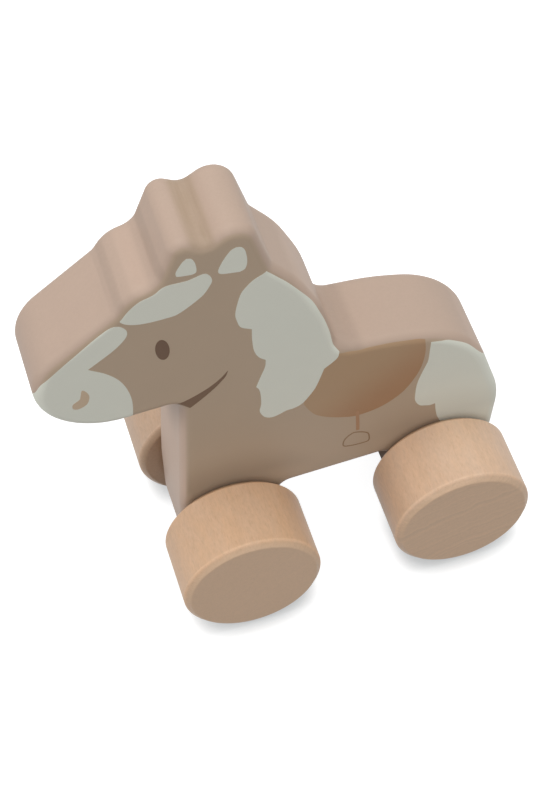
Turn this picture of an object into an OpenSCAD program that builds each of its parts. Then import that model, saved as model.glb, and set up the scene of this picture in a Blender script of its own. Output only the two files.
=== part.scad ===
// Push-along wooden horse: a board horse on two dowel axles and four solid wheels.
// +X points to the nose, +Y to the horse's left and +Z up. The origin lies on the floor,
// below the middle of the whole length and width.

/* [Wheels] */
// Diameter of each wheel
wheel_d = 36; // [33:0.5:40]
// Width of each wheel
wheel_w = 20.6; // [16:0.2:26]
// Bevel of the two rims of each wheel
wheel_edge = 1.5; // [0.8:0.1:3]
// Distance from the front axle to the rear axle
wheelbase = 55.8; // [50:0.2:62]

/* [Axles] */
// Diameter of the axle dowels
axle_d = 8; // [6:0.5:9.5]
// Bevel of the two ends of each axle
axle_edge = 0.6; // [0.2:0.1:1.2]
// Radial running clearance of an axle in the body
axle_clearance = 0.08; // [0.04:0.01:0.1]
// Depth of the blind socket in each wheel
socket_depth = 12; // [8:0.5:14]
// Radial gap for glue between an axle and its socket
glue_gap = 0.05; // [0.02:0.01:0.1]
// Gap between the end of an axle and the bottom of its socket
glue_end = 0.3; // [0.1:0.1:0.8]
// Gap between each wheel and the side of the body
side_gap = 0.6; // [0.4:0.1:0.9]

/* [Board] */
// Thickness of the board
board_t = 22; // [18:0.5:26]
// Rounding along both outlines of the board
edge_round = 2.8; // [1:0.1:3.2]

/* [Head] */
// Height of the jaw above the floor
jaw_h = 72.2; // [69:0.2:75]
// Reach of the throat ahead of the front axle
throat_reach = 6.7; // [4:0.1:10]
// Rounding of the throat
throat_round = 3; // [1:0.5:5]
// Reach of the muzzle ahead of the front axle
muzzle_reach = 39.3; // [36:0.1:44]
// Run of the chin back from the muzzle
chin_run = 10.6; // [9:0.1:12]
// Rounding of the chin
chin_round = 20; // [12:1:24]
// Height of the lower lip above the jaw
lip_h = 10.7; // [9:0.1:12]
// Rounding of the lower lip
lip_round = 16; // [8:1:18]
// Height of the nose above the jaw
nose_h = 24.9; // [23:0.1:28]
// Rounding of the nose
nose_round = 14; // [8:1:16]
// Reach of the foot of the forelock ahead of the front axle
brow_reach = 17.7; // [16:0.1:20]
// Height of the foot of the forelock above the jaw
brow_h = 39.2; // [37:0.2:41]
// Rounding at the foot of the forelock
brow_round = 2.5; // [1:0.5:12]
// Reach of the forelock ahead of the front axle
forelock_reach = 14; // [12.5:0.1:15.5]
// Height of the forelock above the jaw
forelock_h = 44; // [42:0.2:46]
// Rounding of the forelock
forelock_round = 9; // [4:0.5:10]

/* [Ears] */
// Reach of the foot of the smaller ear ahead of the front axle
ear_foot_reach = 7.5; // [6:0.1:9]
// Height of the foot of the smaller ear above the jaw
ear_foot_h = 45; // [43:0.2:47]
// Rounding at the foot of the smaller ear
ear_foot_round = 5; // [2:0.5:6]
// Reach of the smaller ear ahead of the front axle
small_ear_reach = 1.4; // [0:0.1:3]
// Height of the smaller ear above the jaw, at the corner of its outline
small_ear_h = 58; // [55:0.2:60]
// Rounding of the smaller ear
small_ear_round = 3.7; // [3.3:0.1:4.5]
// Distance of the notch between the ears behind the front axle
notch_back = 5.3; // [4:0.1:7]
// Height of the notch above the jaw
notch_h = 53.6; // [52:0.2:56]
// Rounding of the notch
notch_round = 2.7; // [1:0.1:4]
// Distance of the larger ear behind the front axle
ear_back = 15.5; // [14:0.1:17]
// Height of the larger ear above the jaw, at the corner of its outline
ear_h = 59; // [56:0.2:62]
// Rounding of the larger ear
ear_round = 5.8; // [4:0.1:7]

/* [Neck and back] */
// Distance of the nape, where ear and neck meet, behind the front axle
nape_back = 19.6; // [18:0.1:21]
// Height of the nape above the jaw
nape_h = 40; // [38:0.2:43]
// Rounding of the nape
nape_round = 5; // [2:1:10]
// Distance of the upper crest of the neck behind the front axle
upper_crest_back = 25.5; // [24:0.1:27]
// Height of the upper crest above the jaw
upper_crest_h = 31.5; // [29:0.2:34]
// Rounding of the upper crest
upper_crest_round = 32; // [15:1:40]
// Distance of the lower crest of the neck behind the front axle
crest_back = 30; // [28.5:0.1:31.5]
// Height of the lower crest above the jaw
crest_h = 19.6; // [17:0.2:22]
// Rounding of the lower crest
crest_round = 40; // [20:5:50]
// Distance of the withers, where neck and back meet, behind the front axle
withers_back = 33; // [32:0.1:36]
// Height of the withers above the floor
back_h = 75; // [71:0.2:78]
// Rounding of the withers
withers_round = 5; // [2:0.5:8]
// Reach of the loin ahead of the rear axle
loin_reach = 8; // [5:0.1:10]
// Drop of the loin below the withers
loin_drop = 2.2; // [1:0.2:3]
// Rounding of the loin
loin_round = 55; // [30:5:70]
// Reach of the croup behind the rear axle
croup_reach = 11.3; // [9:0.1:13]
// Drop of the croup below the withers
croup_drop = 9; // [6:0.2:10]
// Rounding of the croup
croup_round = 24; // [12:1:28]
// Reach of the rump behind the rear axle
rump_reach = 17.9; // [16:0.1:20]
// Height of the rump's fullest point above the floor
rump_h = 37.5; // [35:0.5:41]
// Rounding of the rump
rump_round = 24; // [12:1:30]

/* [Legs and belly] */
// Height of the feet above the floor
foot_h = 8; // [5:0.5:10]
// Rounding of the feet
foot_round = 5; // [3.5:0.5:6]
// Reach of the front leg from its axle towards the belly
front_leg_inner = 14.2; // [12:0.1:16]
// Reach of the rear leg from its axle towards the belly
rear_leg_inner = 12.6; // [11:0.1:16]
// Reach of each leg from its axle towards the outside, at the foot
leg_outer = 13; // [11:0.1:15]
// Height of the belly above the floor
belly_h = 26.2; // [25:0.1:32]
// Rounding of the corners between belly and legs
belly_round = 3; // [1:0.5:5]
// Reach of the chest ahead of the front axle
chest_reach = 11.8; // [10.5:0.1:12.5]
// Height of the chest above the floor, where it bends into the leg
chest_h = 29; // [26:0.5:34]
// Rounding of that bend
chest_round = 100; // [40:10:120]

/* [Hidden] */

paint = "#c6ab99";
beech = "#d8b48f";

// Largest turn from one point to the next along an arc of the outline
arc_step = 10;
// Turn from one ring to the next around the board's rounded edge
edge_step = 22.5;
// Distance up to which two points of the outline count as one
same_point = 0.01;
// How far a cutting shape runs past the face that it cuts
overcut = 1;
$fn = 96;

wheel_r = wheel_d / 2;
axle_r = axle_d / 2;
axle_h = wheel_r;
socket_r = axle_r + glue_gap;
bore_r = axle_r + axle_clearance;
wheel_inner_y = board_t / 2 + side_gap;
axle_l = 2 * (wheel_inner_y + socket_depth - glue_end);

// Places along the length, counted from the middle between the axles before centring
front_x = wheelbase / 2;
rear_x = -wheelbase / 2;
muzzle_x = front_x + muzzle_reach;
tail_x = rear_x - max(wheel_r, rump_reach);
centre_x = (muzzle_x + tail_x) / 2;

// Outline of the board, against the clock with the nose to the right.
// Each corner is [x, height above the floor, rounding].
outline = [
    // Head, from the nose to the larger ear
    [muzzle_x, jaw_h + nose_h, nose_round],
    [front_x + brow_reach, jaw_h + brow_h, brow_round],
    [front_x + forelock_reach, jaw_h + forelock_h, forelock_round],
    [front_x + ear_foot_reach, jaw_h + ear_foot_h, ear_foot_round],
    [front_x + small_ear_reach, jaw_h + small_ear_h, small_ear_round],
    [front_x - notch_back, jaw_h + notch_h, notch_round],
    [front_x - ear_back, jaw_h + ear_h, ear_round],
    // Neck and back, down to the rump
    [front_x - nape_back, jaw_h + nape_h, nape_round],
    [front_x - upper_crest_back, jaw_h + upper_crest_h, upper_crest_round],
    [front_x - crest_back, jaw_h + crest_h, crest_round],
    [front_x - withers_back, back_h, withers_round],
    [rear_x + loin_reach, back_h - loin_drop, loin_round],
    [rear_x - croup_reach, back_h - croup_drop, croup_round],
    [rear_x - rump_reach, rump_h, rump_round],
    // Rear leg, belly and front leg
    [rear_x - leg_outer, foot_h, foot_round],
    [rear_x + rear_leg_inner, foot_h, foot_round],
    [rear_x + rear_leg_inner, belly_h, belly_round],
    [front_x - front_leg_inner, belly_h, belly_round],
    [front_x - front_leg_inner, foot_h, foot_round],
    [front_x + leg_outer, foot_h, foot_round],
    // Chest and jaw, up to the lower lip
    [front_x + chest_reach, chest_h, chest_round],
    [front_x + throat_reach, jaw_h, throat_round],
    [muzzle_x - chin_run, jaw_h, chin_round],
    [muzzle_x, jaw_h + lip_h, lip_round]
];

// Corner, side and turn along a closed list of corners, at any whole number i
function corner_at(c, i) = c[(i % len(c) + len(c)) % len(c)];
function side_from(c, i) =
    let (a = corner_at(c, i), b = corner_at(c, i + 1))
    [b[0] - a[0], b[1] - a[1]];
function turn_at(c, i) =
    let (u = side_from(c, i - 1), v = side_from(c, i))
    atan2(u[0] * v[1] - u[1] * v[0], u * v);

// Length of straight side that a corner's rounding takes up
function tangent_at(c, i) = corner_at(c, i)[2] * tan(abs(turn_at(c, i)) / 2);

// Rounding of a corner, which gives way where two roundings would share one side
function round_at(c, i) =
    let (t = tangent_at(c, i),
         before = norm(side_from(c, i - 1)) / (t + tangent_at(c, i - 1)),
         after = norm(side_from(c, i)) / (t + tangent_at(c, i + 1)))
    c[i][2] * min(1, before, after);

// Points of a corner's arc, each with its outward direction: [x, z, nx, nz]
function corner_arc(c, i) =
    let (side = side_from(c, i - 1),
         u = side / norm(side),
         turn = turn_at(c, i),
         r = round_at(c, i),
         out = [u[1], -u[0]],
         bend = sign(turn),
         start = [c[i][0], c[i][1]] - u * r * tan(abs(turn) / 2),
         mid = start - out * r * bend,
         steps = ceil(abs(turn) / arc_step))
    [for (k = [0:steps])
        let (a = turn * k / steps,
             n = [out[0] * cos(a) - out[1] * sin(a), out[0] * sin(a) + out[1] * cos(a)],
             p = mid + n * r * bend)
        [p[0], p[1], n[0], n[1]]];

// Points of the whole outline, without those that fall on the next one where two arcs meet
function rounded(c) =
    let (p = [for (i = [0:len(c) - 1]) each corner_arc(c, i)])
    [for (k = [0:len(p) - 1])
        let (step = corner_at(p, k + 1) - p[k])
        if (norm([step[0], step[1]]) > same_point) p[k]];

// Triangles that fill a closed outline, cut off one ear at a time. ids number its points p.
function twice_area(a, b, c) = (b[0] - a[0]) * (c[1] - a[1]) - (b[1] - a[1]) * (c[0] - a[0]);
function inside(a, b, c, q) =
    twice_area(a, b, q) >= 0 && twice_area(b, c, q) >= 0 && twice_area(c, a, q) >= 0;
function ear_at(ids, k) =
    let (n = len(ids))
    [ids[(k + n - 1) % n], ids[k], ids[(k + 1) % n]];
function is_ear(p, ids, e) =
    twice_area(p[e[0]], p[e[1]], p[e[2]]) > 0
    && len([for (i = ids)
        if (len(search(i, e)) == 0 && inside(p[e[0]], p[e[1]], p[e[2]], p[i])) i]) == 0;
function first_ear(p, ids, k = 0) = is_ear(p, ids, ear_at(ids, k)) ? k : first_ear(p, ids, k + 1);
function triangles(p, ids) =
    len(ids) == 3 ? [ids]
    : let (k = first_ear(p, ids))
      concat([ear_at(ids, k)], triangles(p, [for (i = ids) if (i != ids[k]) i]));

// Board of a rounded outline, standing in XZ about y = 0, with its edges rounded
module rounded_board(corners, thick, edge) {
    rim = rounded(corners);
    n = len(rim);
    // Each ring is [y, distance inside the outline]
    left = [for (a = [90:-edge_step:0]) [thick / 2 - edge * (1 - sin(a)), edge * (1 - cos(a))]];
    right = [for (k = [len(left) - 1:-1:0]) [-left[k][0], left[k][1]]];
    rings = concat(left, right);
    last = len(rings) - 1;
    points = [for (ring = rings, p = rim)
        [p[0] - ring[1] * p[2], ring[0], p[1] - ring[1] * p[3]]];
    sides = [for (k = [0:last - 1], i = [0:n - 1])
        let (j = (i + 1) % n)
        [(k + 1) * n + i, (k + 1) * n + j, k * n + j, k * n + i]];
    flat = [for (p = rim) [p[0] - edge * p[2], p[1] - edge * p[3]]];
    left_face = triangles(flat, [for (i = [0:n - 1]) i]);
    right_face = [for (t = left_face) [for (k = [2:-1:0]) last * n + t[k]]];
    polyhedron(points, concat(sides, left_face, right_face), convexity = 8);
}

// Puts a shape on an axle's line, with its +Z along +Y for side 1 and along -Y for side -1
module on_axle(x, y, side) {
    translate([x - centre_x, y, axle_h])
        rotate([-90 * side, 0, 0])
            children();
}

// Turned piece along +Z from z = 0, with a bevel at both ends
module turned(r, length, edge) {
    rotate_extrude()
        polygon([
            [0, 0], [r - edge, 0], [r, edge],
            [r, length - edge], [r - edge, length], [0, length]
        ]);
}

module wheel(x, side) {
    color(beech)
        on_axle(x, side * wheel_inner_y, side)
            difference() {
                turned(wheel_r, wheel_w, wheel_edge);
                translate([0, 0, -overcut])
                    cylinder(r = socket_r, h = socket_depth + overcut);
            }
}

module axle(x) {
    color(beech)
        on_axle(x, -axle_l / 2, 1)
            turned(axle_r, axle_l, axle_edge);
}

module horse_body() {
    color(paint)
        difference() {
            translate([-centre_x, 0, 0])
                rounded_board(outline, board_t, edge_round);
            for (x = [front_x, rear_x])
                on_axle(x, -board_t / 2 - overcut, 1)
                    cylinder(r = bore_r, h = board_t + 2 * overcut);
        }
}

module front_axle() axle(front_x);
module rear_axle() axle(rear_x);
module front_left_wheel() wheel(front_x, 1);
module front_right_wheel() wheel(front_x, -1);
module rear_left_wheel() wheel(rear_x, 1);
module rear_right_wheel() wheel(rear_x, -1);

horse_body();
front_axle();
rear_axle();
front_left_wheel();
front_right_wheel();
rear_left_wheel();
rear_right_wheel();
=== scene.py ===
"""Looks of a push-along wooden horse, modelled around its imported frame.

The horse is a thick painted board with printed markings on both sides. It rolls on four
turned beech wheels that are glued in pairs onto two dowel axles.
"""

import math
from contextlib import contextmanager

import bmesh
import bpy
from bpy.props import FloatProperty, FloatVectorProperty, IntProperty, PointerProperty
from mathutils import Matrix, Vector
from mathutils.geometry import interpolate_bezier


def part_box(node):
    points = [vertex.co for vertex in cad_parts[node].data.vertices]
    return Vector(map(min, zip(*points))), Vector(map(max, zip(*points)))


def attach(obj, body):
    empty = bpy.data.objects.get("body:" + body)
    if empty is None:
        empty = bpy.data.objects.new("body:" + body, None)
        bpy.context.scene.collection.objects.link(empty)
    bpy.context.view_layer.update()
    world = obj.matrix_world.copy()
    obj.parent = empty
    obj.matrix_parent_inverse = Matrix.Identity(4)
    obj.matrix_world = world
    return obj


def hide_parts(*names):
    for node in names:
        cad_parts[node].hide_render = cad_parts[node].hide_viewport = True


bl_info = {
    "name": "Push-along horse",
    "version": (1, 0, 0),
    "blender": (4, 5, 0),
    "location": "3D View > Sidebar > Horse",
    "description": "Models the painted board, its print, the beech wheels and a pale stage",
    "category": "Object",
}

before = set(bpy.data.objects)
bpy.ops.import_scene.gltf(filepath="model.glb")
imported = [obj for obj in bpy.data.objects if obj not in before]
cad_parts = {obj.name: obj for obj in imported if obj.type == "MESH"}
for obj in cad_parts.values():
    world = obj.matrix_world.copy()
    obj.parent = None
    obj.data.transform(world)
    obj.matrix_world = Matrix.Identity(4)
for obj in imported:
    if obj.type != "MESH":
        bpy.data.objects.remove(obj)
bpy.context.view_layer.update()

MM = 0.001
AXLES = ("front_axle", "rear_axle")

# Corners of the board's outline, from the nose over the ears and the back to the lip:
# place along the length, height above the floor and rounding, in millimetres.
OUTLINE = {
    "nose": (56.55, 97.1, 14),
    "brow": (34.95, 111.4, 2.5),
    "forelock": (31.25, 116.2, 9),
    "ear foot": (24.75, 117.2, 5),
    "smaller ear": (18.65, 130.2, 3.7),
    "notch": (11.95, 125.8, 2.7),
    "larger ear": (1.75, 131.2, 5.8),
    "nape": (-2.35, 112.2, 5),
    "upper crest": (-8.25, 103.7, 32),
    "lower crest": (-12.75, 91.8, 40),
    "withers": (-15.75, 75, 5),
    "loin": (-30.55, 72.8, 55),
    "croup": (-49.85, 66, 24),
    "rump": (-56.45, 37.5, 24),
    "rear heel": (-51.55, 8, 5),
    "rear toe": (-25.95, 8, 5),
    "rear groin": (-25.95, 26.2, 3),
    "front groin": (3.05, 26.2, 3),
    "front heel": (3.05, 8, 5),
    "front toe": (30.25, 8, 5),
    "chest": (29.05, 29, 100),
    "throat": (23.95, 72.2, 3),
    "chin": (45.95, 72.2, 20),
    "lip": (56.55, 82.9, 16),
}

# Borders of the printed markings on the left side, in the same millimetres. Each line runs
# smoothly through its points, and the lines of one border meet in its corners. A border that
# leaves the board prints over the round-over as far as the ink reaches.
MUZZLE = (
    ((57.5, 88.5), (56.6, 90.4), (55.85, 91.9), (54.4, 94.5), (52.4, 96.4), (48.8, 99.3),
     (45.4, 101.8), (42.4, 104), (39, 106.4), (36, 108.1), (34.2, 107.9), (33, 106.6),
     (32.6, 105), (33.4, 103), (36.6, 100), (43.1, 95.9)),
    ((43.1, 95.9), (39.3, 92.4), (36.9, 88.9), (35.6, 85.2), (35, 81), (35.1, 77.5),
     (35.5, 74.5), (36.2, 70.5)),
    ((36.2, 70.5), (60, 70.5)),
    ((60, 70.5), (57.5, 88.5)),
)
NOSTRIL = (
    ((45.6, 89), (44.7, 88), (44.3, 86), (45.2, 83.6), (47.2, 82.6), (48.6, 83.2),
     (48.4, 84.8), (46.7, 85.9), (46.2, 87.2), (45.6, 89)),
)
FORELOCK = (
    ((33.6, 109.2), (33.1, 110), (31.2, 112.2), (28.6, 114.1), (25.2, 115.1), (22.2, 116.9),
     (17.3, 116.7), (13.6, 117.4), (12.3, 116.5), (11.8, 114.5), (12.7, 112.5), (14.9, 109.8),
     (20.1, 106.5), (23.2, 106), (28.7, 106.4), (32, 107.6), (33.6, 109.2)),
)
SMALLER_EAR = (
    ((16.6, 124), (15.5, 123.5), (14.9, 121.9), (14.8, 119.5), (15.2, 118.5), (16.2, 118.3)),
    ((16.2, 118.3), (19, 118.9), (19.5, 119.5), (19.3, 120.7), (17.8, 123), (16.6, 124)),
)
LARGER_EAR = (
    ((5.4, 123.1), (4.2, 122.6), (3.5, 121), (3.4, 117.6), (4.1, 115.2), (5.4, 114.6)),
    ((5.4, 114.6), (9.1, 115.5), (10.1, 116.3), (9.9, 117.7), (8.4, 120.4), (6.7, 122.5),
     (5.4, 123.1)),
)
MANE = (
    ((-0.6, 111.9), (-3, 108.6), (-5.4, 105.2), (-8.3, 100.2), (-10.5, 95.6), (-11.9, 91),
     (-12.9, 87.2), (-13.8, 82.2), (-14.2, 77.9), (-15.5, 74.6)),
    ((-15.5, 74.6), (-14.5, 72.4), (-11.3, 70)),
    ((-11.3, 70), (-9.4, 65.1), (-8, 62.4), (-5.2, 58.9), (-3, 57.9), (-1, 57.8), (1, 57.1),
     (2.6, 56.8), (4, 57.3), (5, 58.5), (5.6, 60.8), (5, 63.5), (4.8, 67.1), (5, 69.5),
     (5.6, 70.8)),
    ((5.6, 70.8), (4.2, 74.2), (2.8, 77.6), (2.4, 80.2)),
    ((2.4, 80.2), (3.9, 82), (4.8, 84.8), (4.9, 89), (4.6, 93.2)),
    ((4.6, 93.2), (7, 95), (7.7, 97.5), (7.8, 100.7), (6.2, 106.2), (4.7, 108.5), (2.6, 110.4),
     (-0.6, 111.9)),
)
SADDLE = (
    ((-13.8, 74.6), (-15.8, 73.9), (-20.2, 72.8), (-22.8, 72.6), (-28.6, 71.7), (-34.8, 70.1),
     (-36.9, 69.2)),
    ((-36.9, 69.2), (-36.7, 64.2), (-35.5, 59), (-33.7, 55.3), (-31.7, 52.4), (-29.5, 50.2),
     (-25.8, 48), (-22, 47), (-17.9, 46.9), (-14.6, 48), (-11.3, 49.7), (-8.3, 52.1),
     (-6.7, 54.7), (-5.4, 58)),
    ((-5.4, 58), (-6.5, 64.5), (-9.5, 71), (-13.8, 74.6)),
)
TAIL = (
    ((-58, 45), (-53.6, 52.3), (-51.2, 56.4), (-48.7, 60.6), (-46.6, 63.1), (-43.2, 65.9),
     (-40.6, 67), (-38.3, 67.8)),
    ((-38.3, 67.8), (-37.9, 64.9), (-37.3, 60.6), (-35.9, 57.1), (-34.3, 52.5), (-33.6, 47.2),
     (-33.8, 45), (-34.8, 43.1), (-36.1, 42.4), (-37.4, 41.9), (-38.8, 42)),
    ((-38.8, 42), (-38.9, 38.9), (-39.4, 35.4), (-41.2, 31), (-44.5, 27.4), (-49, 25.2),
     (-58, 24.5)),
    ((-58, 24.5), (-58, 45)),
)
SMILE = (
    ((24.9, 73), (21.4, 74), (18.9, 75), (16.5, 76.2), (13.8, 78.1), (11.6, 80.4)),
    ((11.6, 80.4), (12.2, 78.8), (13, 77.7), (15.3, 75.3), (18.8, 72.5), (22, 70.3)),
    ((22, 70.3), (24.9, 73)),
)
EYE_PLACE = (25.65, 95.2)
EYE_RADII = (1.65, 3.7)
GIRTH_LINE = ((-18.55, 48.5), (-18.5, 45.2), (-18.25, 39.6))
STIRRUP_LINE = ((-14.2, 35.7), (-14.8, 38.1), (-16.9, 39.8), (-18.8, 39.4), (-20.7, 38.1),
                (-21.1, 36.3), (-20.7, 34.5), (-18.1, 34.4), (-15.4, 34.8))

# Bands over which the paint changes, from start to end, in millimetres. These are distances
# from the board's middle plane:
SAWN_EDGE_END = (7.5, 9.5)
SIDE_START = (10.3, 10.9)
WEAR_START = (10.2, 10.7)
WEAR_END = (10.94, 10.99)
# The notch between the ears, the hollow at the withers and the arch under the belly, which
# all get painted shade, have a place along the length, a band of distances from it and a band
# of heights:
NOTCH_PLACE = 12.5
NOTCH_END = (1.6, 3.8)
NOTCH_RISE = (118, 122)
HOLLOW_PLACE = -18.9
HOLLOW_END = (0.8, 4)
HOLLOW_RISE = (70, 73)
ARCH_PLACE = -11.45
ARCH_END = (15.5, 17)
ARCH_TOP = (24, 25.8)
# The chest's front has two bands along the length. With height it gets painted light, and then
# painted shade under the jaw. That shade starts higher towards the sides, by a share of the
# squared distance.
CHEST_START = (21, 25)
CHEST_END = (31, 34)
CHEST_TOP = (72.5, 75)
CHEST_LIGHT_RISE = (14, 44)
JAW_SHADE_RISE = (48, 66)
JAW_SHADE_LIFT = 0.1

# How much painted light or painted shade the paint gets in these places.
HOLLOW_SHADE = 0.13
ARCH_SHADE = 0.45
CHEST_LIGHT = 0.2
JAW_SHADE = 0.45

# Painted light and shade on the sawn edge, lighter on the forelock, crest and rump and darker
# in the creases at the brow and the ear: place along the length and height, reach along both,
# in millimetres, and how much lighter the paint is there. A tone fades with the square of the
# distance, as a share of its reach.
EDGE_LIGHT_AND_SHADE = {
    "forelock": (27.6, 117, 2.8, 3, 0.08),
    "brow crease": (33, 113.9, 1.6, 2.4, -0.08),
    "ear crease": (22.9, 121, 1.6, 3, -0.1),
    "crest": (-10, 99.5, 5, 10, 0.1),
    "rump": (-51, 58, 3.5, 6, 0.08),
}
EDGE_LIGHT_AND_SHADE_FADE = (0.05, 1)

# Shade on the sides of the board round the wheels: how dark it is at each axle, and the bands of
# distances from the axle and of heights over which it ends and starts, in millimetres.
WHEEL_SHADE = {"front_axle": 0.25, "rear_axle": 0.16}
WHEEL_SHADE_END = (18, 32)
WHEEL_SHADE_RISE = (30, 37)

# The saddle's airbrushed shade ends over a band of heights, in millimetres, that slopes along the
# length and wavers a little.
SADDLE_SHADE_END = (32.5, 53.5)
SADDLE_SHADE_SLOPE = 0.68
SADDLE_SHADE_WAVER = 2

# The wheels' beech, in millimetres: where the log's pith runs along Y, as a place along the
# length and a height, how far the rings waver, the bands that part the front from the rear
# wheels and the left from the right ones, and those of the painted highlight along the
# tread's edge and of the rim.
PITH = (-62, -102)
RING_WAVER = 4
FRONT_START = (-20, 0)
LEFT_START = (-5, 5)
TREAD_HIGHLIGHT_END = (0.1, 0.5)
RIM_START = (0.3, 0.6)
RIM_END = 0.15

# How much painted shade darkens the right wheels and all inner faces, and browns the inner faces.
RIGHT_WHEEL_SHADE = 0.12
INNER_FACE_SHADE = 0.16
INNER_FACE_SHADE_BROWN = 0.6

# Relief of the surfaces, in metres, and their specular levels.
PAINT_RELIEF = 0.04 * MM
INK_RELIEF = 0.03 * MM
WOOD_RELIEF = 0.04 * MM
PAINT_SPECULAR = 0.3
WOOD_SPECULAR = 0.35

# Fineness of the meshes: sides of the bores and the wheels, steps of the roundings, shortest
# step of the outline in millimetres, and the angle from which an edge stays sharp.
BORE_SIDES = 64
WHEEL_SIDES = 128
EDGE_STEPS = 8
EASE_STEPS = 3
SHORTEST_STEP = 0.15
SHARP_ANGLE = math.radians(35)

# The turn that lays a cylinder along Y, and Y parts of normals: the least that a face of the
# print has, and what a wheel's inner face stays below.
ALONG_Y = (math.pi / 2, 0, 0)
LEAST_LEFT = 0.2
FULLY_INWARD = -0.999

# Soft square lamps that face the toy: place and size in metres, and tint.
WHITE = (1, 1, 1)
LAMPS = {
    "key": ((0.05, 0.41, 0.82), 0.4, WHITE),
    "top": ((0, -0.1, 0.95), 0.5, WHITE),
    "nose": ((0.82, 0.08, 0.26), 0.5, WHITE),
    "tail": ((-0.65, 0, 0.6), 0.5, (0.92, 1, 0.98)),
}
LAMP_TARGET = (0, 0, 0.06)

# The floor: its size in metres, the greys that it lights the toy with, in patches of so many
# millimetres, and what the camera sees of it. The contact shade reaches so many metres, and
# ends over a band of openness.
FLOOR_SIZE = 6
FLOOR_GREYS = (124, 130)
FLOOR_PATCH = 180
FLOOR_SHADOW = (0.5, 0.5, 0.5)
FLOOR_GLOW = (0.87, 0.875, 0.88)
CONTACT_GLOW = (0.36, 0.38, 0.39)
CONTACT_REACH = 8 * MM
CONTACT_END = (0.45, 0.97)

# Rays that see the white surroundings; all others see the plain light of the studio.
SEEN_RAYS = ("Is Camera Ray", "Is Glossy Ray", "Is Transmission Ray")


def srgb(red, green, blue):
    """Scene-linear colour of an sRGB colour given in steps of 0 to 255."""
    def linear(step):
        value = step / 255
        return value / 12.92 if value <= 0.04045 else ((value + 0.055) / 1.055) ** 2.4
    return linear(red), linear(green), linear(blue)


def length(name, description, millimetres):
    """A length property, in metres, from its default in millimetres."""
    return FloatProperty(name=name, description=description, default=millimetres * MM,
                         min=0, precision=5, subtype="DISTANCE", unit="LENGTH")


def colour(name, description, red, green, blue):
    """A colour property from an sRGB default."""
    return FloatVectorProperty(name=name, description=description, subtype="COLOR", size=3,
                               min=0, max=1, default=srgb(red, green, blue))


def lamp_power(name, description, watts):
    """A power property, in watts."""
    return FloatProperty(name=name, description=description, default=watts, min=0,
                         precision=3, unit="POWER")


def node_size(node, axis):
    """Size of a CAD node along an axis, in millimetres."""
    low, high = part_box(node)
    return (high[axis] - low[axis]) / MM


def node_middle(node):
    """Middle of a CAD node's box, in metres."""
    low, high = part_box(node)
    return (low + high) / 2


class HorseSizes(bpy.types.PropertyGroup):
    """Sizes of the board, its print and the wheels."""

    board_thickness: length("Board thickness", "Thickness of the board",
                            node_size("horse_body", 1))
    edge_round: length("Edge rounding", "Rounding along both outlines of the board", 2.8)
    axle_bore: length("Axle bore", "Diameter of the holes for the axles", 8.16)
    ink_reach: length("Ink reach", "How far down the round-over the ink reaches", 2.2)
    ink_layer: length("Ink layer", "Thickness of one printed layer", 0.02)
    girth_width: length("Girth width", "Width of the printed girth strap", 0.9)
    stirrup_width: length("Stirrup line", "Width of the printed line of the stirrup", 0.32)
    wheel_diameter: length("Wheel diameter", "Diameter of a wheel",
                           node_size("front_left_wheel", 2))
    wheel_width: length("Wheel width", "Width of a wheel", node_size("front_left_wheel", 1))
    rim_bevel: length("Rim bevel", "Bevel around both rims of a wheel", 1.5)
    rim_ease: length("Rim easing", "Rounding along both edges of a rim's bevel", 0.3)
    socket_diameter: length("Socket diameter", "Diameter of the axle's socket in a wheel", 8.1)
    socket_depth: length("Socket depth", "Depth of the axle's socket in a wheel", 12)
    arc_step: IntProperty(name="Arc step", default=4, min=1, max=15,
                          description="Largest turn between points of an arc, in degrees")


class HorseColours(bpy.types.PropertyGroup):
    """Colours of the paint, the inks and the wood."""

    paint: colour("Paint", "Rose-brown paint on the sides of the board", 192, 170, 147)
    edge_paint: colour("Edge paint", "Rose-brown paint on the sawn edge", 192, 168, 151)
    # Bare wood is also darker than the wood, as painted shade for the notch between the ears.
    bare_wood_and_shade: colour("Bare wood", "Wood that shows through thin paint", 178, 155, 133)
    white_ink: colour("White ink", "Off-white of the mane, tail and muzzle", 234, 234, 221)
    saddle_ink: colour("Saddle ink", "Tan of the saddle", 185, 153, 121)
    saddle_shade: colour("Saddle shade", "Airbrushed shade on the saddle", 176, 135, 102)
    strap_ink: colour("Strap ink", "Brown of the girth strap", 183, 141, 109)
    stirrup_ink: colour("Stirrup ink", "Brown of the stirrup", 150, 121, 93)
    eye_ink: colour("Eye ink", "Dark brown of the eye", 114, 88, 69)
    mouth_ink: colour("Mouth ink", "Brown of the mouth", 123, 97, 77)
    nostril_ink: colour("Nostril ink", "Light tan of the nostril", 210, 186, 159)
    beech: colour("Beech", "Side grain of the tan wheel", 224, 184, 148)
    beech_pale: colour("Pale beech", "Side grain of the paler wheels", 222, 189, 161)
    beech_end: colour("Beech end grain", "End grain on the faces of the wheels", 222, 188, 157)
    beech_fleck: colour("Beech fleck", "Flecks in the beech", 190, 146, 110)


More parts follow.
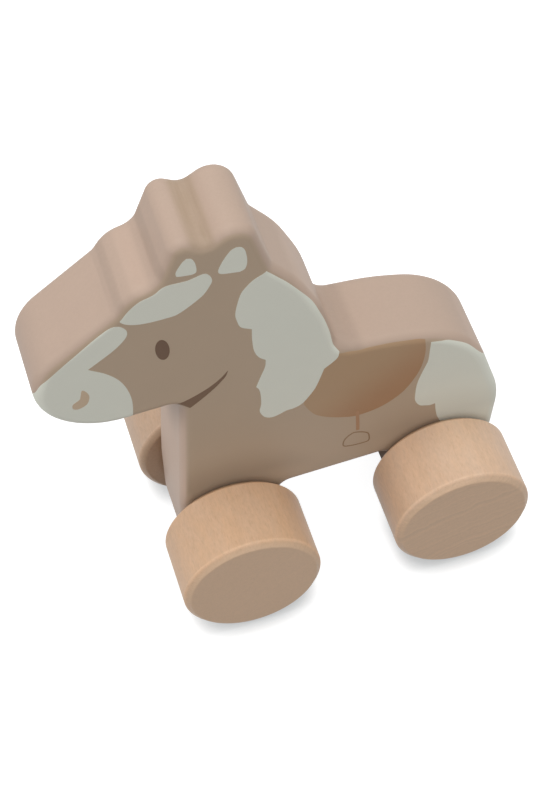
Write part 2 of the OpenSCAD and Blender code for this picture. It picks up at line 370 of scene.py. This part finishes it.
class StageSettings(bpy.types.PropertyGroup):
    """Camera and light."""

    camera_place: FloatVectorProperty(
        name="Camera place", description="Where the camera stands", size=3,
        default=(0.05564, 0.29679, 0.47371), subtype="TRANSLATION", unit="LENGTH")
    camera_turn: FloatVectorProperty(
        name="Camera turn", description="How the camera is turned", size=3,
        default=[math.radians(a) for a in (35.075, 4.514, 162.812)], subtype="EULER")
    lens: FloatProperty(name="Lens", description="Focal length of the camera in millimetres",
                        default=94.26, min=10)
    key_power: lamp_power("Key lamp", "Power of the lamp above the camera", 1.05)
    top_power: lamp_power("Top lamp", "Power of the lamp straight above", 1.85)
    nose_power: lamp_power("Nose lamp", "Power of the lamp ahead of the nose", 1.35)
    tail_power: lamp_power("Tail lamp", "Power of the lamp behind the tail", 0.74)
    ambient: FloatProperty(name="Ambient", description="Strength of the light from all around",
                           default=0.6, min=0)


class Socket:
    """A node's output that takes part in Python expressions. Each operator adds a Math node."""

    def __init__(self, finish, socket):
        self.finish = finish
        self.socket = socket

    def _math(self, operation, first, second=0.0):
        return self.finish.add("ShaderNodeMath", {"operation": operation},
                               {0: first, 1: second})

    def __add__(self, other):
        return self._math("ADD", self, other)

    def __sub__(self, other):
        return self._math("SUBTRACT", self, other)

    def __rsub__(self, other):
        return self._math("SUBTRACT", other, self)

    def __mul__(self, other):
        return self._math("MULTIPLY", self, other)

    def __truediv__(self, other):
        return self._math("DIVIDE", self, other)

    def __abs__(self):
        return self._math("ABSOLUTE", self)

    __radd__ = __add__
    __rmul__ = __mul__


class Finish:
    """A material, or the world around the toy, that is built node by node."""

    def __init__(self, owner):
        owner.use_nodes = True
        self.owner = owner
        self.tree = owner.node_tree
        self.tree.nodes.clear()

    def add(self, kind, settings=None, inputs=None, output=0):
        """Adds a node, gives it its settings and inputs, and returns one of its outputs."""
        node = self.tree.nodes.new(kind)
        for name, value in (settings or {}).items():
            setattr(node, name, value)
        for key, value in (inputs or {}).items():
            if isinstance(value, Socket):
                self.tree.links.new(value.socket, node.inputs[key])
            else:
                target = node.inputs[key]
                if target.type == "RGBA" and len(value) == 3:
                    value = (*value, 1)
                target.default_value = value
        return Socket(self, node.outputs[output])

    def place(self, stretch=(1, 1, 1)):
        """Object coordinates in millimetres, each axis stretched by its own factor."""
        point = self.add("ShaderNodeTexCoord", output="Object")
        scale = [1 / (MM * s) for s in stretch]
        return self.add("ShaderNodeVectorMath", {"operation": "MULTIPLY"}, {0: point, 1: scale})

    def axes(self, vector):
        """The three parts of a vector."""
        node = self.add("ShaderNodeSeparateXYZ", inputs={0: vector}).socket.node
        return [Socket(self, part) for part in node.outputs]

    def seen_rays(self):
        """Whether a ray is the camera's, mirrored or sent through, each as 0 or 1."""
        node = self.add("ShaderNodeLightPath").socket.node
        return [Socket(self, node.outputs[name]) for name in SEEN_RAYS]

    def noise(self, cell, stretch=(1, 1, 1), detail=2.0, roughness=0.5):
        """Noise from 0 to 1 whose cells are so many millimetres wide."""
        return self.add("ShaderNodeTexNoise", inputs={
            "Vector": self.place(stretch), "Scale": 1 / cell, "Detail": detail,
            "Roughness": roughness})

    def ramp(self, value, start, end):
        """Smooth step of a value, from 0 at the start to 1 at the end."""
        return self.add("ShaderNodeMapRange", {"interpolation_type": "SMOOTHSTEP"},
                        {"Value": value, "From Min": start, "From Max": end})

    def near(self, value, middle, start, end):
        """1 as far from a middle value as the start, and 0 from the end on."""
        return 1 - self.ramp(abs(value - middle), start, end)

    def from_line(self, x, z):
        """Distance from a line along Y, in millimetres."""
        across = self.add("ShaderNodeVectorMath", {"operation": "MULTIPLY_ADD"},
                          {0: self.place(), 1: (1, 0, 1), 2: (-x, 0, -z)})
        return self.add("ShaderNodeVectorMath", {"operation": "LENGTH"}, {0: across},
                        output="Value")

    def wheel_shade(self):
        """Soft shade on the sides of the board round the wheels, where less light comes in."""
        _, _, z = self.axes(self.place())
        shade = 0
        for node, strength in WHEEL_SHADE.items():
            axle = node_middle(node) / MM
            away = self.ramp(self.from_line(axle.x, axle.z), *WHEEL_SHADE_END)
            shade = (1 - away) * strength + shade
        return shade * self.ramp(z, *WHEEL_SHADE_RISE)

    def mix(self, factor, first, second):
        """Mix of two colours."""
        return self.add("ShaderNodeMix", {"data_type": "RGBA"},
                        {0: factor, 6: first, 7: second}, output=2)

    def shade(self, tint, factor):
        """A colour made lighter or darker by a factor."""
        return self.add("ShaderNodeVectorMath", {"operation": "SCALE"},
                        {0: tint, "Scale": factor})

    def bump(self, height, depth):
        """Normal of a surface whose height runs over so many metres."""
        return self.add("ShaderNodeBump", inputs={
            "Height": height, "Distance": depth, "Strength": 1.0})

    def surface(self, tint, roughness, normal, **constants):
        """Ends the material in a Principled shader and returns the material."""
        inputs = {"Base Color": tint, "Roughness": roughness, "Normal": normal}
        inputs.update({key.replace("_", " "): value for key, value in constants.items()})
        return self.add_output(self.add("ShaderNodeBsdfPrincipled", inputs=inputs))

    def add_output(self, shader, kind="ShaderNodeOutputMaterial"):
        """Links a shader to an output, and returns the material or the world."""
        node = self.tree.nodes.new(kind)
        self.tree.links.new(shader.socket, node.inputs["Surface"])
        return self.owner


def new_finish(name):
    """An empty material, to be built."""
    return Finish(bpy.data.materials.new(name))


def board_paint(colours):
    """Satin paint, streaked on the sawn edge, thin between the ears and along the edges.

    Its tone also holds painted light and shade: painted shade round the wheels, inside the
    arch, at the withers, between the ears, under the jaw and in two creases, and painted light
    on the chest and on the forelock, crest and rump.
    """
    finish = new_finish("rose brown paint")
    x, y, z = finish.axes(finish.place())
    sawn_edge = 1 - finish.ramp(abs(y), *SAWN_EDGE_END)
    side = finish.ramp(abs(y), *SIDE_START)
    edge = 1 - side
    mottle = finish.noise(cell=9, detail=3)
    streaks = finish.noise(cell=0.7, stretch=(1, 1, 14), detail=3, roughness=0.6)
    brush = finish.noise(cell=0.8, stretch=(1, 12, 1), detail=3, roughness=0.6)
    specks = finish.noise(cell=0.5, detail=2)
    # Between the ears the paint is thin and the wood shows, and there the wood's colour is
    # darkened with painted shade.
    notch = finish.ramp(z, *NOTCH_RISE) * finish.near(x, NOTCH_PLACE, *NOTCH_END)
    wear = finish.ramp(abs(y), *WEAR_START) * (1 - finish.ramp(abs(y), *WEAR_END))
    thin = notch * edge * (0.75 + finish.ramp(brush, 0.35, 0.7) * 0.25) + wear * 0.25
    # Painted shade in the hollow at the withers and inside the arch under the belly.
    hollow = finish.ramp(z, *HOLLOW_RISE) * finish.near(x, HOLLOW_PLACE, *HOLLOW_END)
    arch = (1 - finish.ramp(z, *ARCH_TOP)) * finish.near(x, ARCH_PLACE, *ARCH_END)
    # On the chest's front, painted light that grows with height and painted shade under the jaw.
    chest = (finish.ramp(x, *CHEST_START) * (1 - finish.ramp(x, *CHEST_END))
             * (1 - finish.ramp(z, *CHEST_TOP)) * edge)
    jaw = finish.ramp(z - y * y * JAW_SHADE_LIFT, *JAW_SHADE_RISE)
    tone = (0.965 + mottle * 0.05 + (streaks - 0.5) * sawn_edge * 0.09
            - hollow * HOLLOW_SHADE - arch * ARCH_SHADE - side * finish.wheel_shade()
            + chest * (finish.ramp(z, *CHEST_LIGHT_RISE) * CHEST_LIGHT - jaw * JAW_SHADE))
    # Painted light on the forelock, crest and rump, and painted shade in the creases at the brow
    # and the ear.
    for middle_x, middle_z, reach_x, reach_z, change in EDGE_LIGHT_AND_SHADE.values():
        along = (x - middle_x) / reach_x
        up = (z - middle_z) / reach_z
        spot = 1 - finish.ramp(along * along + up * up, *EDGE_LIGHT_AND_SHADE_FADE)
        tone = tone + spot * edge * change
    painted = finish.mix(side, colours.edge_paint[:], colours.paint[:])
    tint = finish.shade(finish.mix(thin, painted, colours.bare_wood_and_shade[:]), tone)
    height = mottle * 0.5 + streaks * sawn_edge * 0.5 + brush * sawn_edge * 0.3 + specks * 0.12
    rough = 0.42 + mottle * 0.08 + specks * 0.05 + arch * 0.4
    return finish.surface(tint, rough, finish.bump(height, PAINT_RELIEF),
                          Specular_IOR_Level=PAINT_SPECULAR)


def ink(name, tint):
    """Satin ink with the faint unevenness of a pad print, shaded round the wheels."""
    finish = new_finish(name)
    cloud = finish.noise(cell=7, detail=3)
    grain = finish.noise(cell=0.45, detail=2)
    tone = 0.98 + cloud * 0.03 + (grain - 0.5) * 0.015 - finish.wheel_shade()
    return finish.surface(finish.shade(tint, tone), 0.42 + cloud * 0.08 + grain * 0.06,
                          finish.bump(cloud * 0.6 + grain * 0.2, INK_RELIEF),
                          Specular_IOR_Level=PAINT_SPECULAR)


def saddle_print(colours):
    """Tan ink that is airbrushed darker towards the lower back of the saddle."""
    finish = new_finish("saddle ink")
    x, _, z = finish.axes(finish.place())
    cloud = finish.noise(cell=6, detail=3)
    grain = finish.noise(cell=0.45, detail=2)
    level = z + x * SADDLE_SHADE_SLOPE + cloud * SADDLE_SHADE_WAVER
    shade = 1 - finish.ramp(level, *SADDLE_SHADE_END)
    tint = finish.mix(shade, colours.saddle_ink[:], colours.saddle_shade[:])
    return finish.surface(finish.shade(tint, 0.98 + cloud * 0.03), 0.42 + cloud * 0.1,
                          finish.bump(cloud * 0.6 + grain * 0.2, INK_RELIEF),
                          Specular_IOR_Level=PAINT_SPECULAR)


def beech_wood(colours, middle, tread, face):
    """Steamed beech under clear satin lacquer, with its grain along the axles.

    The wheel's middle, and the edge of its tread and its face seen from that middle, are in
    millimetres along Y. The wheels are turned from a log whose pith lies below the rear ones.
    The right wheels and all inner faces are darker and browner with painted shade, and a
    painted highlight runs along the edge of each tread.
    """
    finish = new_finish("beech")
    x, y, _ = finish.axes(finish.place())
    off_middle = abs(abs(y) - middle)
    end_grain = finish.ramp(off_middle, tread, face)
    tread_edge_highlight = finish.near(off_middle, tread, *TREAD_HIGHLIGHT_END)
    rim = (finish.ramp(off_middle - tread, *RIM_START)
           * (1 - finish.ramp(off_middle, face - RIM_END, face)))
    inner = 1 - finish.ramp(abs(y), middle - face, middle - tread)
    wobble = finish.noise(cell=6, stretch=(1, 8, 1), detail=2)
    rings = finish.add("ShaderNodeTexNoise", {"noise_dimensions": "1D"}, {
        "W": finish.from_line(*PITH) + wobble * RING_WAVER, "Scale": 0.7, "Detail": 3.0,
        "Roughness": 0.65})
    blush = finish.noise(cell=6, stretch=(1, 2.5, 1), detail=4, roughness=0.65)
    patches = finish.ramp(blush, 0.35, 0.65)
    front = finish.ramp(x, *FRONT_START)
    left = finish.ramp(y, *LEFT_START)
    stock = 1 - front * left
    flecks = finish.ramp(finish.noise(cell=0.36, stretch=(1, 6, 1), detail=1), 0.56, 0.76)
    pores = finish.noise(cell=0.25, stretch=(1, 4, 1), detail=3, roughness=0.7)
    cloud = finish.noise(cell=0.7, stretch=(1, 2.5, 1), detail=3, roughness=0.6)
    side = finish.mix(stock * 0.6 + patches * 0.4, colours.beech[:], colours.beech_pale[:])
    wood = finish.mix(end_grain, side, colours.beech_end[:])
    # Flecks, and painted shade that browns the inner faces.
    flecks_and_inner_shade = flecks * (0.2 - end_grain * 0.1) + inner * INNER_FACE_SHADE_BROWN
    tint = finish.mix(flecks_and_inner_shade, wood, colours.beech_fleck[:])
    # Painted highlight along the tread's edge, and painted shade on the right wheels and the inner
    # faces.
    tone = (0.88 + (rings - 0.5) * (0.14 + end_grain * (0.08 - front * 0.16)) + pores * 0.16
            + (cloud - 0.5) * (0.22 - end_grain * 0.09) + tread_edge_highlight * 0.07 - rim * 0.06
            - (1 - left) * RIGHT_WHEEL_SHADE - inner * INNER_FACE_SHADE)
    height = rings * 0.5 + pores * 0.5 - flecks * 0.4
    return finish.surface(finish.shade(tint, tone), 0.4 + rings * 0.12 + flecks * 0.08,
                          finish.bump(height, WOOD_RELIEF), Specular_IOR_Level=WOOD_SPECULAR,
                          Coat_Weight=0.1, Coat_Roughness=0.3)


def dowel_wood(colours):
    """Plain beech dowel with long, straight grain."""
    finish = new_finish("dowel")
    grain = finish.noise(cell=0.5, stretch=(1, 20, 1), detail=3)
    tone = 0.86 + grain * 0.18
    return finish.surface(finish.shade(colours.beech[:], tone), 0.5 + grain * 0.15,
                          finish.bump(grain, WOOD_RELIEF))


def rounded_outline(corners, step):
    """Points along a closed outline whose corners are arcs of their own rounding."""
    places = [Vector(corner[:2]) for corner in corners]
    count = len(places)
    sides = [places[(i + 1) % count] - places[i] for i in range(count)]
    turns = [-sides[i - 1].angle_signed(sides[i]) for i in range(count)]
    runs = [corners[i][2] * math.tan(abs(turns[i]) / 2) for i in range(count)]
    points = []
    for i, turn in enumerate(turns):
        before = sides[i - 1].length / (runs[i - 1] + runs[i])
        after = sides[i].length / (runs[i] + runs[(i + 1) % count])
        radius = corners[i][2] * min(1, before, after)
        along = sides[i - 1].normalized()
        inward = Vector((-along.y, along.x)) * math.copysign(radius, turn)
        start = places[i] - along * radius * math.tan(abs(turn) / 2)
        steps = max(2, math.ceil(abs(turn) / step))
        for k in range(steps + 1):
            spoke = -inward
            spoke.rotate(Matrix.Rotation(turn * k / steps, 2))
            points.append(start + inward + spoke)
    following = points[1:] + points[:1]
    return [p for p, q in zip(points, following) if (q - p).length > SHORTEST_STEP]


def smooth_line(points, steps=6):
    """Points of a smooth line through the given ones, without its last point."""
    knots = [Vector(p) for p in points]
    closed = (knots[0] - knots[-1]).length < 1e-6
    if closed:
        knots = [knots[-2]] + knots + [knots[1]]
    else:
        knots = [2 * knots[0] - knots[1]] + knots + [2 * knots[-1] - knots[-2]]
    line = []
    for a, b, c, d in zip(knots, knots[1:], knots[2:], knots[3:]):
        line += interpolate_bezier(b, b + (c - a) / 6, c - (d - b) / 6, c, steps + 1)[:-1]
    return [Vector(p[:2]) for p in line]


def border(lines):
    """Points of a closed border made of smooth lines that meet in corners."""
    return [p for line in lines for p in smooth_line(line)]


def ellipse(middle, radii, count=48):
    """Points of an upright ellipse."""
    turns = [2 * math.pi * k / count for k in range(count)]
    return [Vector((middle[0] + radii[0] * math.cos(a), middle[1] + radii[1] * math.sin(a)))
            for a in turns]


def beside(points, distance, closed):
    """A line beside another one, so far to its left."""
    count = len(points)
    moved = []
    for i, point in enumerate(points):
        before = points[i - 1] if closed or i else point
        after = points[(i + 1) % count] if closed or i < count - 1 else point
        along = (after - before).normalized()
        moved.append(point + Vector((-along.y, along.x)) * distance)
    return moved


def deselect():
    """Leaves nothing selected, in object mode."""
    if bpy.context.object and bpy.context.object.mode != "OBJECT":
        bpy.ops.object.mode_set(mode="OBJECT")
    bpy.ops.object.select_all(action="DESELECT")


def pick(piece):
    """Makes a piece the only selected object, and the active one."""
    deselect()
    piece.select_set(True)
    bpy.context.view_layer.objects.active = piece


@contextmanager
def edit_mode(piece):
    """Edits the mesh of a piece, with all of it selected at first."""
    pick(piece)
    bpy.ops.object.mode_set(mode="EDIT")
    bpy.ops.mesh.select_all(action="SELECT")
    yield
    bpy.ops.object.mode_set(mode="OBJECT")


def select_parts(piece, kind, test):
    """In edit mode, selects the edges or faces that pass a test."""
    bpy.ops.mesh.select_mode(type=kind)
    bpy.ops.mesh.select_all(action="DESELECT")
    mesh = bmesh.from_edit_mesh(piece.data)
    for part in {"EDGE": mesh.edges, "FACE": mesh.faces}[kind]:
        part.select = test(part)
    mesh.select_flush_mode()
    bmesh.update_edit_mesh(piece.data)


def bevel_rims(piece, limit, width, steps):
    """In edit mode, bevels the edges whose ends differ along Y by less than a limit."""
    select_parts(piece, "EDGE", lambda e: abs(e.verts[0].co.y - e.verts[1].co.y) < limit)
    bpy.ops.mesh.bevel(offset=width, offset_type="OFFSET", segments=steps, profile=0.5,
                       affect="EDGES", clamp_overlap=False)


def turn_outward(piece):
    """Turns all faces of a closed piece outward."""
    with edit_mode(piece):
        bpy.ops.mesh.normals_make_consistent(inside=False)


def upright_plate(name, points, low, high):
    """A plate whose outline stands in XZ, from y = low to y = high."""
    deselect()
    bpy.ops.mesh.primitive_circle_add(vertices=len(points), fill_type="NGON")
    piece = bpy.context.object
    piece.name = name
    for vertex, point in zip(piece.data.vertices, points):
        vertex.co = point.x * MM, low, point.y * MM
    with edit_mode(piece):
        bpy.ops.mesh.extrude_region_move(TRANSFORM_OT_translate={"value": (0, high - low, 0)})
    turn_outward(piece)
    return piece


def apply_modifier(piece, kind, **settings):
    """Adds a modifier to a piece and applies it."""
    pick(piece)
    modifier = piece.modifiers.new(kind.title(), kind)
    for name, value in settings.items():
        setattr(modifier, name, value)
    bpy.ops.object.modifier_apply(modifier=modifier.name)


def cut(piece, tool, operation):
    """Cuts a piece with a tool, which is used up."""
    apply_modifier(piece, "BOOLEAN", operation=operation, object=tool, solver="EXACT")
    bpy.data.objects.remove(tool)


def copy_of(piece, name):
    """A copy of a piece with a mesh of its own."""
    pick(piece)
    bpy.ops.object.duplicate(linked=False)
    twin = bpy.context.object
    twin.name = name
    return twin


def finish_piece(piece, material, body):
    """Shades a piece, gives it its material and lets it ride on a body."""
    pick(piece)
    bpy.ops.object.shade_smooth_by_angle(angle=SHARP_ANGLE)
    apply_modifier(piece, "WEIGHTED_NORMAL", keep_sharp=True)
    piece.data.name = piece.name
    piece.data.materials.clear()
    piece.data.materials.append(material)
    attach(piece, body)


def solid_board(name, sizes):
    """The board with its rounded edges, before its bores."""
    half = sizes.board_thickness / 2
    points = rounded_outline(list(OUTLINE.values()), math.radians(sizes.arc_step))
    board = upright_plate(name, points, -half, half)
    with edit_mode(board):
        bevel_rims(board, half, sizes.edge_round, EDGE_STEPS)
    return board


class MakeBoard(bpy.types.Operator):
    """Models the painted board with its two axle bores."""

    bl_idname = "toy_horse.board"
    bl_label = "Board"

    def execute(self, context):
        scene = context.scene
        sizes = scene.horse_sizes
        board = solid_board("painted_board", sizes)
        for node in AXLES:
            bpy.ops.mesh.primitive_cylinder_add(
                vertices=BORE_SIDES, radius=sizes.axle_bore / 2,
                depth=2 * sizes.board_thickness, location=node_middle(node), rotation=ALONG_Y)
            cut(board, context.object, "DIFFERENCE")
        finish_piece(board, board_paint(scene.horse_colours), "horse")
        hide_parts("horse_body")
        return {"FINISHED"}


class MakePrint(bpy.types.Operator):
    """Models the printed markings as thin films on both sides of the board."""

    bl_idname = "toy_horse.print"
    bl_label = "Print"

    def stencil(self, sizes, points):
        """A plate inside a border that reaches through the ink on the board's left side."""
        face = sizes.board_thickness / 2
        return upright_plate("stencil", points, face - sizes.ink_reach, face + sizes.ink_reach)

    def film(self, skin, sizes, name, points, layers):
        """A film of ink that follows the board's left side inside a border."""
        film = copy_of(skin, name)
        with edit_mode(film):
            bpy.ops.transform.shrink_fatten(value=layers * sizes.ink_layer, use_even_offset=True)
        cut(film, self.stencil(sizes, points), "INTERSECT")
        with edit_mode(film):
            select_parts(film, "FACE", lambda f: f.normal.y < LEAST_LEFT)
            bpy.ops.mesh.delete(type="FACE")
        if not film.data.polygons:
            raise RuntimeError(f"{name} lies off the board")
        apply_modifier(film, "SOLIDIFY", thickness=(layers + 1) * sizes.ink_layer, offset=-1)
        return film

    def execute(self, context):
        scene = context.scene
        sizes = scene.horse_sizes
        colours = scene.horse_colours
        white = ink("off-white ink", colours.white_ink[:])
        dark = ink("eye ink", colours.eye_ink[:])
        brown = ink("mouth ink", colours.mouth_ink[:])
        nostril = ink("nostril ink", colours.nostril_ink[:])
        leather = ink("strap ink", colours.strap_ink[:])
        iron = ink("stirrup ink", colours.stirrup_ink[:])
        saddle = saddle_print(colours)
        girth = smooth_line(GIRTH_LINE)
        half = sizes.girth_width / MM / 2
        strap = beside(girth, half, False) + beside(girth, -half, False)[::-1]
        stirrup = smooth_line(STIRRUP_LINE + STIRRUP_LINE[:1])
        line = sizes.stirrup_width / MM / 2
        # Name, border, layers of ink that it stands proud by, and material.
        markings = (
            ("muzzle", border(MUZZLE), 2, white),
            ("forelock", border(FORELOCK), 2, white),
            ("smaller_ear", border(SMALLER_EAR), 2, white),
            ("larger_ear", border(LARGER_EAR), 2, white),
            ("mane", border(MANE), 2, white),
            ("tail", border(TAIL), 2, white),
            ("nostril", border(NOSTRIL), 3, nostril),
            ("eye", ellipse(EYE_PLACE, EYE_RADII), 2, dark),
            ("smile", border(SMILE), 2, brown),
            ("saddle", border(SADDLE), 1, saddle),
            ("girth", strap, 2, leather),
            ("stirrup", beside(stirrup, -line, True), 3, iron),
        )
        skin = solid_board("skin", sizes)
        for name, points, layers, material in markings:
            left = self.film(skin, sizes, f"left_{name}", points, layers)
            if name == "stirrup":
                hole = self.stencil(sizes, beside(stirrup, line, True))
                cut(left, hole, "DIFFERENCE")
            right = copy_of(left, f"right_{name}")
            right.scale.y = -1
            bpy.ops.object.transform_apply(location=False, rotation=False, scale=True)
            turn_outward(right)
            for piece in (left, right):
                finish_piece(piece, material, "horse")
        bpy.data.objects.remove(skin)
        return {"FINISHED"}


class MakeWheels(bpy.types.Operator):
    """Models one turned wheel and copies it to its four places."""

    bl_idname = "toy_horse.wheels"
    bl_label = "Wheels"

    def turned_wheel(self, sizes):
        """A wheel about the origin, with its outer face towards +Y."""
        deselect()
        radius = sizes.wheel_diameter / 2
        half = sizes.wheel_width / 2
        bpy.ops.mesh.primitive_cylinder_add(vertices=WHEEL_SIDES, radius=radius, depth=2 * half,
                                            rotation=ALONG_Y)
        wheel = bpy.context.object
        bpy.ops.object.transform_apply(location=False, rotation=True, scale=False)
        ring = radius - sizes.rim_bevel - sizes.rim_ease - sizes.socket_diameter / 2
        with edit_mode(wheel):
            bevel_rims(wheel, half, sizes.rim_bevel, 1)
            bevel_rims(wheel, MM / 100, sizes.rim_ease, EASE_STEPS)
            select_parts(wheel, "FACE", lambda f: f.normal.y < FULLY_INWARD)
            bpy.ops.mesh.inset(thickness=ring)
            bpy.ops.mesh.extrude_region_move(
                TRANSFORM_OT_translate={"value": (0, sizes.socket_depth, 0)})
        return wheel

    def execute(self, context):
        scene = context.scene
        sizes = scene.horse_sizes
        half = sizes.wheel_width / 2
        material = beech_wood(scene.horse_colours, node_middle("front_left_wheel").y / MM,
                              (half - sizes.rim_bevel) / MM, half / MM)
        pattern = self.turned_wheel(sizes)
        for end in ("front", "rear"):
            for side in ("left", "right"):
                node = f"{end}_{side}_wheel"
                wheel = copy_of(pattern, f"turned_{node}")
                wheel.location = node_middle(node)
                if side == "right":
                    wheel.rotation_euler.z = math.pi
                bpy.ops.object.transform_apply(location=True, rotation=True, scale=True)
                finish_piece(wheel, material, f"{end}_wheels")
                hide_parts(node)
        bpy.data.objects.remove(pattern)
        return {"FINISHED"}


class FinishAxles(bpy.types.Operator):
    """Gives the two dowel axles their wood."""

    bl_idname = "toy_horse.axles"
    bl_label = "Axles"

    def execute(self, context):
        material = dowel_wood(context.scene.horse_colours)
        for node in AXLES:
            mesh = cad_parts[node].data
            mesh.materials.clear()
            mesh.materials.append(material)
        return {"FINISHED"}


class MakeStage(bpy.types.Operator):
    """Sets up the pale floor, the soft lamps, the white surroundings and the camera."""

    bl_idname = "toy_horse.stage"
    bl_label = "Stage"

    def floor_finish(self):
        """White to the camera with a soft cool shadow, white in mirrors, and grey to the light."""
        finish = new_finish("pale floor")
        camera, glossy, through = finish.seen_rays()
        dim, bright = (srgb(grey, grey, grey) for grey in FLOOR_GREYS)
        tint = finish.mix(finish.noise(cell=FLOOR_PATCH, detail=1), dim, bright)
        plain = finish.add("ShaderNodeBsdfDiffuse", inputs={"Color": tint})
        shadow = finish.add("ShaderNodeBsdfDiffuse", inputs={"Color": FLOOR_SHADOW})
        room = finish.add("ShaderNodeAmbientOcclusion", {"samples": 16},
                          {"Distance": CONTACT_REACH}, output="AO")
        pale = finish.mix(finish.ramp(room, *CONTACT_END), CONTACT_GLOW, FLOOR_GLOW)
        glow = finish.add("ShaderNodeEmission", inputs={"Color": pale, "Strength": 1})
        lit = finish.add("ShaderNodeAddShader", inputs={0: shadow, 1: glow})
        white = finish.add("ShaderNodeEmission", inputs={"Color": WHITE, "Strength": 1})
        mirrored = finish.add("ShaderNodeMixShader",
                              inputs={0: glossy + through, 1: plain, 2: white})
        return finish.add_output(finish.add("ShaderNodeMixShader",
                                            inputs={0: camera, 1: mirrored, 2: lit}))

    def surroundings(self, ambient):
        """White to the camera and in mirrors, and plain dimmer light to all else."""
        finish = Finish(bpy.data.worlds.new("white surroundings"))
        camera, glossy, through = finish.seen_rays()
        level = finish.add("ShaderNodeMapRange", inputs={
            "Value": camera + glossy + through, "To Min": ambient})
        light = finish.add("ShaderNodeBackground", inputs={"Color": WHITE, "Strength": level})
        return finish.add_output(light, "ShaderNodeOutputWorld")

    def lamp(self, name, power, place, size, tint):
        """A square soft lamp that faces the toy."""
        deselect()
        bpy.ops.object.light_add(type="AREA", location=place)
        lamp = bpy.context.object
        lamp.name = name
        lamp.data.shape = "SQUARE"
        lamp.data.size = size
        lamp.data.energy = power
        lamp.data.color = tint
        ahead = Vector(LAMP_TARGET) - Vector(place)
        lamp.rotation_euler = ahead.to_track_quat("-Z", "Y").to_euler()

    def execute(self, context):
        scene = context.scene
        stage = scene.horse_stage
        deselect()
        bpy.ops.mesh.primitive_plane_add(size=FLOOR_SIZE)
        floor = context.object
        floor.name = "floor"
        floor.data.materials.append(self.floor_finish())
        for name, (place, size, tint) in LAMPS.items():
            power = getattr(stage, f"{name}_power")
            self.lamp(f"{name}_lamp", power, place, size, tint)
        scene.world = self.surroundings(stage.ambient)
        deselect()
        bpy.ops.object.camera_add(location=stage.camera_place, rotation=stage.camera_turn)
        camera = context.object
        camera.name = "photo_camera"
        camera.data.sensor_width = 36
        camera.data.lens = stage.lens
        scene.camera = camera
        scene.view_settings.view_transform = "Standard"
        return {"FINISHED"}


class HorsePanel(bpy.types.Panel):
    """Lists the steps that make the horse."""

    bl_idname = "VIEW3D_PT_toy_horse"
    bl_label = "Push-along horse"
    bl_space_type = "VIEW_3D"
    bl_region_type = "UI"
    bl_category = "Horse"

    def draw(self, context):
        for step in STEPS:
            self.layout.operator(step.bl_idname)
        for name, group in GROUPS.items():
            box = self.layout.box()
            for setting in group.__annotations__:
                box.prop(getattr(context.scene, name), setting)


STEPS = (MakeStage, MakeBoard, MakePrint, MakeWheels, FinishAxles)
GROUPS = {"horse_sizes": HorseSizes, "horse_colours": HorseColours, "horse_stage": StageSettings}


def register():
    """Registers the classes and hangs the settings on the scene."""
    for cls in (*GROUPS.values(), *STEPS, HorsePanel):
        bpy.utils.register_class(cls)
    for name, group in GROUPS.items():
        setattr(bpy.types.Scene, name, PointerProperty(type=group))


def unregister():
    """Takes the settings and the classes away again."""
    for name in GROUPS:
        delattr(bpy.types.Scene, name)
    for cls in (HorsePanel, *STEPS[::-1], *GROUPS.values()):
        bpy.utils.unregister_class(cls)


def main():
    register()
    bpy.ops.toy_horse.stage()
    bpy.ops.toy_horse.board()
    bpy.ops.toy_horse.print()
    bpy.ops.toy_horse.wheels()
    bpy.ops.toy_horse.axles()
    deselect()


if __name__ == "__main__":
    main()
